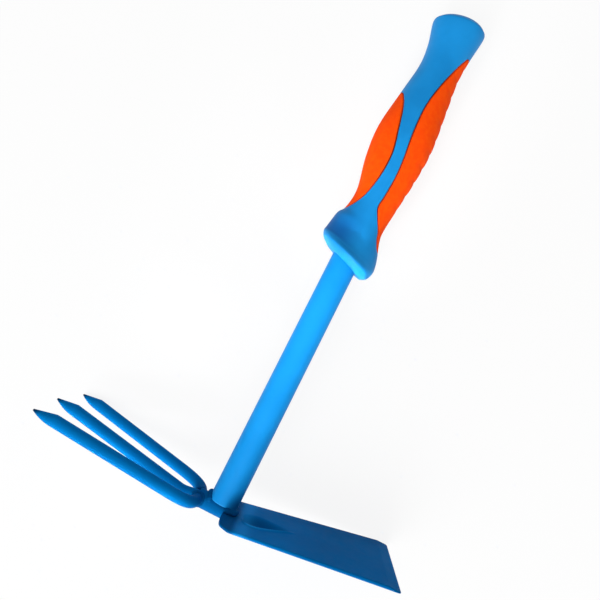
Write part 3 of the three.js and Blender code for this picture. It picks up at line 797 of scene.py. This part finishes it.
def blade_form(x, y):
    """Height of the sheet's middle: the flange, less the pressed channel, a drop in both width and
    depth, plus its lip, a bell curve across the near border. The channel's far side slopes more
    gently than its near one."""
    curl = bend_height(np.maximum(0, CURL_START - x)) / bend_height(CURL_START - HEEL_SETBACK)
    along = channel_along(x)
    depth = CHANNEL_DEPTH * drop_shape(along, swell=0.4, fade=1.1)
    near, far = channel_near(along, y), y - channel_half(along)
    lip = CHANNEL_LIP * bell(near - LIP_PLACE, LIP_WIDTH) * np.minimum(1, depth / LIP_FULL_DEPTH)
    sunk = depth * smooth_step(-near / CHANNEL_FALL) * smooth_step(-far / FAR_FALL)
    return CURL_RISE * curl - sunk + lip


print("flange rises", CURL_RISE, "mm, channel sinks up to", CHANNEL_DEPTH, "mm")

# %% [markdown]
# The grid's rows follow the sheared outline. Its columns lie close together over the channel and
# at the sheared edge, which is rounded: within a short way of it the skin falls off as a circle.

# %% Blade outline and skin
SHEAR_ROUND = 0.7
MIDDLE_HALF = 10.5
NEAR_EDGE = np.array([0, 0.02, 0.06, 0.12, 0.22, 0.36, 0.55, 0.85, 1.6])


def half_width(x):
    """The straight sides' distance from the middle."""
    return (ROOT_WIDTH + (END_WIDTH - ROOT_WIDTH) * x / BLADE_REACH) / 2


def blade_outline():
    """Rows of distance along the blade and half width there. Each corner is a parabola that leaves
    one straight edge and meets the other, both at the corner's radius from its point."""
    def corner(x, towards, across, radius, steps):
        t = np.sin(np.linspace(0, 1, steps) * np.pi / 2)[:, None]
        here = np.array([x, half_width(x)])
        on_end = here - np.array([0, across])
        side = np.array([towards, half_width(x + towards) - half_width(x)])
        on_side = here + radius * unit(side)
        return (1 - t) ** 2 * on_end + 2 * t * (1 - t) * here + t * t * on_side
    heel = corner(HEEL_SETBACK, 1, across=HEEL_ACROSS, radius=HEEL_ALONG, steps=20)
    end = corner(BLADE_REACH, -1, across=END_RADIUS, radius=END_RADIUS, steps=12)[::-1]
    x = np.linspace(heel[-1, 0], end[0, 0], 190)[1:-1]
    return np.concatenate([heel, np.stack([x, half_width(x)], axis=1), end])


def blade_grid():
    """Distance along and across for every column of every ring."""
    outline = blade_outline()
    x, half = outline[:, :1], outline[:, 1:]
    middle = np.linspace(-MIDDLE_HALF, MIDDLE_HALF, 71)
    share = np.linspace(0, 1, 22)[1:-1]
    left = -half + NEAR_EDGE
    right = half - NEAR_EDGE[::-1]
    link_left = left[:, -1:] + (middle[0] - left[:, -1:]) * share
    link_right = middle[-1] + (right[:, :1] - middle[-1]) * share
    y = np.concatenate([left, link_left, middle + 0 * half, link_right, right], axis=1)
    return x + 0 * y, y, half


def blade_rings():
    """Each ring runs over the top from one side to the other and back below. The rounding takes
    a little less than half of the sheet's thickness from either side."""
    x, y, half = blade_grid()
    inside = np.minimum(half - np.abs(y), np.minimum(x - HEEL_SETBACK, BLADE_REACH - x))
    short = np.clip(1 - inside / SHEAR_ROUND, 0, 1)
    past = np.maximum(0, (x - (BLADE_REACH - BEVEL_LENGTH)) / BEVEL_LENGTH)
    bevel = past * (BLADE_THICKNESS - EDGE_THICKNESS)
    room = np.minimum(SHEAR_ROUND, (BLADE_THICKNESS - bevel) / 2.2)
    round_off = room * (1 - np.sqrt(1 - short**2))
    form = blade_form(x, y)
    top = form + BLADE_THICKNESS / 2 - bevel - round_off
    under = form - BLADE_THICKNESS / 2 + round_off
    above, below = (np.stack([x, y, z], axis=-1) for z in (top, under))
    return np.concatenate([above[:, ::-1], below], axis=1)


def raised(points):
    """Turned up about the tube's foot to the blade's rise."""
    c, s = np.cos(BLADE_RISE), np.sin(BLADE_RISE)
    return points @ np.array([[c, 0, s], [0, 1, 0], [-s, 0, c]])


def strip_loft(rings):
    """As loft, but each end is closed by quads between the upper and lower half of its ring."""
    rows, count, _ = rings.shape
    j = np.arange(count // 2 - 1)
    cap = np.stack([j, j + 1, count - 2 - j, count - 1 - j], axis=1)
    caps = np.concatenate([cap[:, ::-1], cap + (rows - 1) * count])
    return rings.reshape(-1, 3), ring_faces(rows, count) + caps.tolist()


rings = blade_rings()
points, faces = strip_loft(rings)
print("blade grid:", rings.shape[0], "rows of", rings.shape[1] // 2, "columns")

# %% [markdown]
# The blade carries painted shade in the bend and on the channel's floor, and a little towards the
# working end. It carries a painted highlight on the channel's lip and, faintly, on the flat beside
# the bend.

# %% Blade
# Painted shade in the bend, the channel and towards the end; painted highlight on lip and flat.
BEND_SHADE, BEND_SHADE_REACH, BEND_SHADE_BLEND = 0.85, 3.4, 3.2
CHANNEL_SHADE = 0.75
OUTER_SHADE, OUTER_START, OUTER_BLEND = 0.3, 24, 34
BESIDE_CHANNEL = 20.0
LIP_HIGHLIGHT_PLACE, LIP_HIGHLIGHT_WIDTH = 0.3, 0.8
FLAT_HIGHLIGHT, FLAT_HIGHLIGHT_PLACE, FLAT_HIGHLIGHT_WIDTH = 0.34, 14, 3.5


def blade_shade(x, y):
    """Painted shade, the greatest of three: a step down past the bend, the root of the channel's
    depth as a share of its greatest, and a slow step up towards the working end."""
    level = blade_form(x, np.full_like(y, BESIDE_CHANNEL))
    sunk = np.clip((level - blade_form(x, y)) / CHANNEL_DEPTH, 0, 1)
    bend = BEND_SHADE * smooth_step((CURL_START + BEND_SHADE_REACH - x) / BEND_SHADE_BLEND)
    channel = CHANNEL_SHADE * np.sqrt(sunk) * (channel_along(x) < 1)
    outer = OUTER_SHADE * smooth_step((x - OUTER_START) / OUTER_BLEND)
    return np.maximum.reduce([bend, channel, outer])


def blade_highlight(x, y):
    """A painted highlight, the greater of two bell curves: one across the lip, which fades along
    the channel, and one across the flat beside the bend."""
    along = channel_along(x)
    across_lip = bell(channel_near(along, y) - LIP_HIGHLIGHT_PLACE, LIP_HIGHLIGHT_WIDTH)
    lip = across_lip * smooth_step(along * 8) * (1 - along) ** 1.5
    return np.maximum(lip, FLAT_HIGHLIGHT * bell(x - FLAT_HIGHLIGHT_PLACE, FLAT_HIGHLIGHT_WIDTH))


x, y = rings[..., 0], rings[..., 1]
add_piece("blade_sheet", (raised(points), faces), HEAD_PAINT, "hoe_blade",
          {"crease": blade_shade(x, y), "crest": blade_highlight(x, y)})

# %% [markdown]
# ## Fork
# Three round rods of 5.8 mm. The middle one runs through the sleeve and then rises; the outer ones
# leave the sleeve's sides, swing round to their shoulders and run straight out. Each ends in a
# point that was forged from above, so it lies near the rod's underside. A bevelled curve could make
# the rods but not the points, so a circle is carried along the path, and drawn out at its end.

# %% Fork paths
ROD_RADIUS = 2.9
FORK_REACH = 95.4
TIP_SPREAD = 30.0
SHOULDER_REACH = 28.7
SHOULDER_SPREAD = 19.5
TIP_HEIGHT = 12.5
SHOULDER_HEIGHT = 4.1
MIDDLE_REACH = 97.5
MIDDLE_TIP_HEIGHT = 12.9
MIDDLE_BEND_REACH = 22.8
MIDDLE_BEND_HEIGHT = 0.9
TIP_LENGTH = 10.2
ROOT_REACH = -12.5


def bezier(start, pull_start, pull_stop, stop, steps):
    """Points of a cubic curve from start to stop, drawn towards the two pulls."""
    t = np.linspace(0, 1, steps)[:, None]
    return ((1 - t) ** 3 * start + 3 * t * (1 - t) ** 2 * pull_start
            + 3 * t * t * (1 - t) * pull_stop + t**3 * stop)


def straight(start, stop, steps):
    """Even steps from start towards stop, without stop itself."""
    return start + (stop - start) * np.linspace(0, 1, steps, endpoint=False)[:, None]


def fork_path(side):
    """Centre line of a rod. Side 0 is the middle one, -1 and 1 are the outer ones."""
    if side == 0:
        root = np.array([SLEEVE_END, 0, SLEEVE_HEIGHT])
        mouth = np.array([-SLEEVE_LENGTH, 0, SLEEVE_HEIGHT])
        bend = np.array([-MIDDLE_BEND_REACH, 0, MIDDLE_BEND_HEIGHT])
        tip = np.array([-MIDDLE_REACH, 0, MIDDLE_TIP_HEIGHT])
        swing = np.linalg.norm(bend - mouth) / 3
        leave = mouth - np.array([swing, 0, 0])
    else:
        root = np.array([ROOT_REACH, side * (ROD_RADIUS + FIT), SLEEVE_HEIGHT])
        mouth = np.array([ROOT_REACH, side * SLEEVE_RADIUS, SLEEVE_HEIGHT])
        bend = np.array([-SHOULDER_REACH, side * SHOULDER_SPREAD, SHOULDER_HEIGHT])
        tip = np.array([-FORK_REACH, side * TIP_SPREAD, TIP_HEIGHT])
        swing = np.linalg.norm(bend - mouth) / 2
        leave = mouth + np.array([0, side * swing, 0])
    arrive = bend + swing * unit(bend - tip)
    short = tip + TIP_LENGTH * unit(bend - tip)
    return np.concatenate([
        straight(root, mouth, 4), bezier(mouth, leave, arrive, bend, 40)[:-1],
        straight(bend, short, 60), straight(short, tip, 24), tip[None]])


PATHS = [fork_path(side) for side in (-1, 0, 1)]
print("fork paths end at", [path[-1].round(1).tolist() for path in PATHS])

# %% [markdown]
# The circle's top, underside and sides are three formulas of the way left to the tip. Each rod
# stores how near its point is and how near its root is, for a painted shade at the point and round
# the root's bead.

# %% Fork
TIP_POINT = 0.7
TIP_UNDER_BEVEL = 2.05
# Painted shade at the tines' points and round their roots.
POINT_SHADE_FROM = 0.6
ROOT_SHADE, ROOT_SHADE_LENGTH = 0.7, 14


def carried(path):
    """Directions across and up from a path, square to it and to each other."""
    along = unit(np.gradient(path, axis=0))
    across = unit(np.cross((0, 0, 1.0), along))
    return across, np.cross(along, across)


def rod_rings(path):
    """A circle carried along the path. Near the tip its top slopes down straight, and its underside
    and sides draw in with the square of the way. The second result rises to 1 at the point, the
    third falls from the root."""
    across, lift = carried(path)
    left = np.linalg.norm(path - path[-1], axis=1)
    drawn = np.clip((TIP_LENGTH - left) / TIP_LENGTH, 0, 1)[:, None]
    top = ROD_RADIUS + (TIP_UNDER_BEVEL + TIP_POINT - 2 * ROD_RADIUS) * drawn
    under = -ROD_RADIUS + TIP_UNDER_BEVEL * drawn**2
    half = ROD_RADIUS + (TIP_POINT - ROD_RADIUS) * drawn**2
    angle = once_round(40)
    side = half * np.cos(angle)
    up = (top + under) / 2 + (top - under) / 2 * np.sin(angle)
    rings = path[:, None] + side[..., None] * across[:, None] + up[..., None] * lift[:, None]
    from_root = np.linalg.norm(path - path[0], axis=1)[:, None]
    point = smooth_step((drawn - POINT_SHADE_FROM) / (1 - POINT_SHADE_FROM))
    crease = ROOT_SHADE * falls_off(from_root, ROOT_SHADE_LENGTH, hold=0.4)
    return rings, point + 0 * angle, crease + 0 * angle


for path, side in zip(PATHS, ("left", "middle", "right")):
    rings, point, crease = rod_rings(path)
    add_piece(side + "_rod", loft(rings), HEAD_PAINT, side + "_tine",
              {"point": point, "crease": crease})

# %% [markdown]
# ## Sleeve
# A short pipe round the middle rod, on which the tube's foot sits. Its profile, a wall with rounded
# rims, is closed in itself and turned about the rod.

# %% Sleeve
SLEEVE_BORE = 3.2
SLEEVE_ROUND = 0.5
SLEEVE_INTO_HEEL = 2.5
# Painted shade over the whole sleeve.
SLEEVE_SHADE = 0.45


def sleeve_rings():
    """Out along the outside, over the rim, in along the bore and back over the other rim."""
    turn = np.linspace(0, np.pi / 2, 6)
    sine, cosine = SLEEVE_ROUND * np.sin(turn), SLEEVE_ROUND * np.cos(turn)
    start, stop = SLEEVE_ROUND - SLEEVE_LENGTH, SLEEVE_END + SLEEVE_INTO_HEEL - SLEEVE_ROUND
    outer, bore = SLEEVE_RADIUS - SLEEVE_ROUND, SLEEVE_BORE + SLEEVE_ROUND
    x = np.concatenate([start - cosine, stop + sine, stop + cosine, start - sine])[:, None]
    radius = np.concatenate([outer + sine, outer + cosine, bore - sine, bore - cosine])[:, None]
    angle = once_round(64)
    aside, up = radius * np.sin(angle), SLEEVE_HEIGHT + radius * np.cos(angle)
    return np.stack([x + 0 * angle, aside, up], axis=-1)


rings = sleeve_rings()
add_piece("sleeve", closed_loop(rings), HEAD_PAINT, "fork_sleeve",
          {"crease": np.full(rings.shape[:2], SLEEVE_SHADE)})

# %% [markdown]
# ## Weld beads
# The head is held together by hand-laid beads: one along the tube's foot on the blade's flange, one
# over the sleeve at the tube's wall, and one round the root of each outer rod. On the real tool
# they are fused into both sides. The CAD solids keep a small gap there; the beads below run into
# the steel on both sides. Each is an ellipse carried along an arc, and its size swells and sinks
# once per ripple, as a welder's hand moves.

# %% Bead form
RIPPLE_PITCH = 1.5
RIPPLE_SHARE = 0.05
SWELL_PITCH = 4.3 * RIPPLE_PITCH
BEAD_STEPS = 120
# Painted shade on the weld beads.
BEAD_SHADE = 0.8


def bead_rings(path, outward, radius, flatness):
    """An ellipse carried along a path. Its radius follows a sine once per ripple and a slower
    one, and draws in to a point at both ends."""
    along = unit(np.gradient(path, axis=0))
    sideways = unit(np.cross(along, outward))
    out = np.cross(sideways, along)
    run = np.concatenate([[0], np.cumsum(np.linalg.norm(np.diff(path, axis=0), axis=1))])
    ripple = RIPPLE_SHARE * np.sin(2 * np.pi * run / RIPPLE_PITCH)
    swell = 2 * RIPPLE_SHARE * np.sin(2 * np.pi * run / SWELL_PITCH + radius)
    taper = np.sqrt(np.clip(np.minimum(run, run[-1] - run) / radius, 0.02, 1))
    reach = (radius * taper * (1 + ripple + swell))[:, None]
    angle = once_round(20)
    across = reach * np.cos(angle)
    up = flatness * reach * np.sin(angle)
    return path[:, None] + across[..., None] * sideways[:, None] + up[..., None] * out[:, None]


def arc(half_turn):
    """Angles from one end of a bead to the other."""
    return np.linspace(-half_turn, half_turn, BEAD_STEPS)


def add_bead(name, node, path, outward, radius, flatness):
    """A bead as a piece. Its crease value paints shade on it."""
    rings = bead_rings(path, outward, radius, flatness)
    add_piece(name, loft(rings), HEAD_PAINT, node,
              {"crease": np.full(rings.shape[:2], BEAD_SHADE)})


print("a ripple every", RIPPLE_PITCH, "mm")

# %% [markdown]
# The foot's bead lies halfway between the flange and the tube's cut edge, or a little above it. The
# saddle's follows the line where the tube's wall meets the sleeve. The root beads go almost all the
# way round their rods and sink into the sleeve. An `OFF` size is how far a bead's centre line lies
# off the steel that it follows, and a `LEAN` how much its outward side leans over from square.

# %% Weld beads
FOOT_TURN, SADDLE_TURN, ROOT_TURN = np.radians([78, 74, 172.8])
FOOT_OFF, SADDLE_OFF, ROOT_OFF = 0.2, 0.3, 0.1
FOOT_LEAN, SADDLE_LEAN, ROOT_LEAN = 0.8, 0.8, 0.7
FOOT_LIFT = 0.4
ROOT_SUNK = 0.4


def flange_top(x):
    """Height of the flange's upper side at a distance from the tube's axis."""
    height = blade_form(x, BESIDE_CHANNEL) + BLADE_THICKNESS / 2
    return raised(np.stack([x, 0 * x, height], axis=-1))[..., 2]


turn = arc(FOOT_TURN)
foot_reach = TUBE_RADIUS + FOOT_OFF
foot_x = foot_reach * np.cos(turn)
foot_height = (flange_top(foot_x) + TUBE_FOOT + FOOT_LIFT) / 2
foot_path = np.stack([foot_x, foot_reach * np.sin(turn), foot_height], axis=1)
foot_out = np.stack([np.cos(turn), np.sin(turn), 0 * turn + FOOT_LEAN], axis=1)
add_bead("foot_bead", "blade_weld", foot_path, foot_out, radius=1.6, flatness=0.8)

turn = arc(SADDLE_TURN)
saddle_reach = SLEEVE_RADIUS + SADDLE_OFF
saddle_y = saddle_reach * np.sin(turn)
saddle_path = np.stack([-np.sqrt((TUBE_RADIUS + SADDLE_OFF) ** 2 - saddle_y**2), saddle_y,
                        SLEEVE_HEIGHT + saddle_reach * np.cos(turn)], axis=1)
saddle_out = np.stack([0 * turn - SADDLE_LEAN, np.sin(turn), np.cos(turn)], axis=1)
add_bead("saddle_bead", "fork_weld", saddle_path, saddle_out, radius=1.5, flatness=0.9)

turn = arc(ROOT_TURN)
root_reach = ROD_RADIUS + ROOT_OFF
for side, hand in ((-1, "left"), (1, "right")):
    path = np.stack([ROOT_REACH + root_reach * np.cos(turn),
                     0 * turn + side * (SLEEVE_RADIUS - ROOT_SUNK),
                     SLEEVE_HEIGHT + root_reach * np.sin(turn)], axis=1)
    outward = np.stack([np.cos(turn), 0 * turn + side * ROOT_LEAN, np.sin(turn)], axis=1)
    add_bead(hand + "_root_bead", hand + "_tine_weld", path, outward, radius=1.1, flatness=0.8)

# %% [markdown]
# ## Camera
# The camera stands where the reference picture was taken from, found by fitting the tool's outline.
# It is written in the tool's own frame: where the eye is, what it looks at, how far it is rolled,
# and the small shift of the picture's centre.

# %% Camera
EYE = np.array([3.318, -323.025, 103.187])
AIM = np.array([-3.715, 0.0, 153.961])
ROLL = np.radians(-26.751)
LENS = 36.812
SHIFT = (-0.08528, -0.11170)
camera_data = bpy.data.cameras.new("camera")
camera = bpy.data.objects.new("camera", camera_data)
scene = bpy.context.scene
scene.collection.objects.link(camera)
scene.camera = camera
forward = unit(AIM - EYE)
level_side = unit(np.cross(forward, [0, 0, 1.0]))
level_up = np.cross(level_side, forward)
up = level_up * np.cos(ROLL) + np.cross(forward, level_up) * np.sin(ROLL)
matrix = Matrix((np.array([np.cross(forward, up), up, -forward]) @ AXES).T.tolist()).to_4x4()
matrix.translation = Vector(to_world(EYE))
camera.matrix_world = matrix
camera_data.lens = LENS
camera_data.shift_x, camera_data.shift_y = SHIFT
camera_data.clip_start = 0.01
camera_data.clip_end = 20
print("camera at", [round(v, 3) for v in matrix.translation])

# %% [markdown]
# ## Floor and surroundings
# The tool lies on a pale floor in a pale room. The light that falls on the tool and the white that
# the camera sees are kept apart: a Light Path node gives camera, mirrored and transmitted rays the
# white background, and all other rays a dimmer grey. The floor's white is mixed with a real diffuse
# surface near the tool, so that it keeps the tool's shadow, and fades to plain white further out,
# so that no horizon shows. The grey is brightest towards `FILL_SIDE`, by the cosine of the angle.

# %% Surroundings
FILL_DIM = 0.16
FILL_BRIGHT = 0.80
FILL_SIDE = (0.0, -0.87, 0.50)
scene.view_settings.view_transform = "Standard"


def seen_directly(tree):
    """1 for rays that the eye follows: from the camera, by a mirror or through glass."""
    rays = fed(tree, "ShaderNodeLightPath")
    total = rays.outputs["Is Camera Ray"]
    for label in ("Is Glossy Ray", "Is Transmission Ray"):
        add = fed(tree, "ShaderNodeMath", total, rays.outputs[label], operation="ADD")
        add.use_clamp = True
        total = add.outputs[0]
    return total


world = bpy.data.worlds.new("studio")
scene.world = world
world.use_nodes = True
sky = world.node_tree
direction = fed(sky, "ShaderNodeTexCoord").outputs["Generated"]
towards = fed(sky, "ShaderNodeVectorMath", direction, operation="DOT_PRODUCT")
towards.inputs[1].default_value = FILL_SIDE
slope = map_range(sky, towards.outputs["Value"], -1, 1, FILL_DIM, FILL_BRIGHT)
fill = map_range(sky, seen_directly(sky), 0, 1, FILL_DIM, 1)
sky.links.new(slope.outputs["Result"], fill.inputs["To Min"])
background = sky.nodes["Background"]
sky.links.new(fill.outputs["Result"], background.inputs["Strength"])
background.inputs["Color"].default_value = (1, 1, 1, 1)
print("fill from", FILL_DIM, "to", FILL_BRIGHT)

# %% [markdown]
# The floor is one large square at the height of the tool's lowest point.

# %% Floor
FLOOR_SIZE = 6.0
FLOOR_GREY = 0.85
FLOOR_WHITE = 0.88
FADE_START, FADE_STOP = 0.22, 0.55
square = np.array([(-1, -1, 0), (1, -1, 0), (1, 1, 0), (-1, 1, 0)]) * FLOOR_SIZE / 2
floor_mesh = bpy.data.meshes.new("floor")
floor_mesh.from_pydata(square.tolist(), [], [(0, 1, 2, 3)])
floor = bpy.data.objects.new("floor", floor_mesh)
scene.collection.objects.link(floor)
floor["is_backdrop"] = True


def floor_finish():
    """Diffuse grey, covered by plain white light for rays that the eye follows: by a share near
    the tool, and wholly from half a metre out."""
    material = bpy.data.materials.new("floor_finish")
    material.use_nodes = True
    tree = material.node_tree
    tree.nodes.clear()
    place = fed(tree, "ShaderNodeTexCoord").outputs["Object"]
    distance = fed(tree, "ShaderNodeVectorMath", place, operation="LENGTH").outputs["Value"]
    fade = map_range(tree, distance, FADE_START, FADE_STOP, FLOOR_WHITE, 1)
    fade.interpolation_type = "SMOOTHSTEP"
    share = fed(tree, "ShaderNodeMath", fade.outputs["Result"], seen_directly(tree),
                operation="MULTIPLY")
    diffuse = fed(tree, "ShaderNodeBsdfDiffuse")
    diffuse.inputs["Color"].default_value = (FLOOR_GREY, FLOOR_GREY, FLOOR_GREY, 1)
    white = fed(tree, "ShaderNodeEmission")
    blend = fed(tree, "ShaderNodeMixShader", *(node.outputs[0] for node in (share, diffuse, white)))
    fed(tree, "ShaderNodeOutputMaterial", blend.outputs[0])
    return material


floor_mesh.materials.append(floor_finish())
print("floor white:", FLOOR_WHITE, "near the tool, 1 from", FADE_STOP, "m out")

# %% [markdown]
# ## Lamps
# A large soft lamp stands out beyond the head and well above it, and models the round forms. A long
# low strip in front of the head lights the blade's near edge. Two narrow beams pick out the guard's
# rim and the tines, which are brightest in the picture: a wide lamp there would light the blade's
# underside as well.

# %% Lamps
BEAM_SPREAD = 16


def soft_lamp(name, place, target, wide, tall, power, spread=180):
    """A rectangular lamp at a place in metres, turned to face a target, with its power in watts
    and the angle over which it spreads in degrees."""
    data = bpy.data.lights.new(name, "AREA")
    data.shape = "RECTANGLE"
    data.size, data.size_y = wide, tall
    data.energy = power
    data.spread = np.radians(spread)
    lamp = bpy.data.objects.new(name, data)
    scene.collection.objects.link(lamp)
    direction = Vector(target) - Vector(place)
    lamp.rotation_euler = direction.to_track_quat("-Z", "Y").to_euler()
    lamp.location = place
    lamp.visible_camera = False


soft_lamp("key", (-0.08, -0.62, 0.82), (0, 0, 0.03), wide=0.8, tall=0.7, power=6.6)
soft_lamp("low_strip", (-0.05, -0.90, 0.02), (0, -0.05, 0.03), wide=0.8, tall=0.04, power=3.5)
soft_lamp("guard_beam", to_world([-20, -112, -210]), to_world([2, -6, 138]),
          wide=0.04, tall=0.04, power=0.018, spread=BEAM_SPREAD)
soft_lamp("fork_beam", to_world([-55, -75, -330]), to_world([-62, 0, 8]),
          wide=0.05, tall=0.05, power=0.014, spread=BEAM_SPREAD)
print("lamps:", [lamp.name for lamp in bpy.data.lights])

# %% [markdown]
# ## Sizes
# Last, the dressed tool's box is measured and kept beside the CAD model's, because looks must not
# change sizes.

# %% Sizes and finish
low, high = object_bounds()
size["visual_low"], size["visual_high"] = list(low), list(high)
print("visual box in metres:", [round(b - a, 4) for a, b in zip(low, high)])
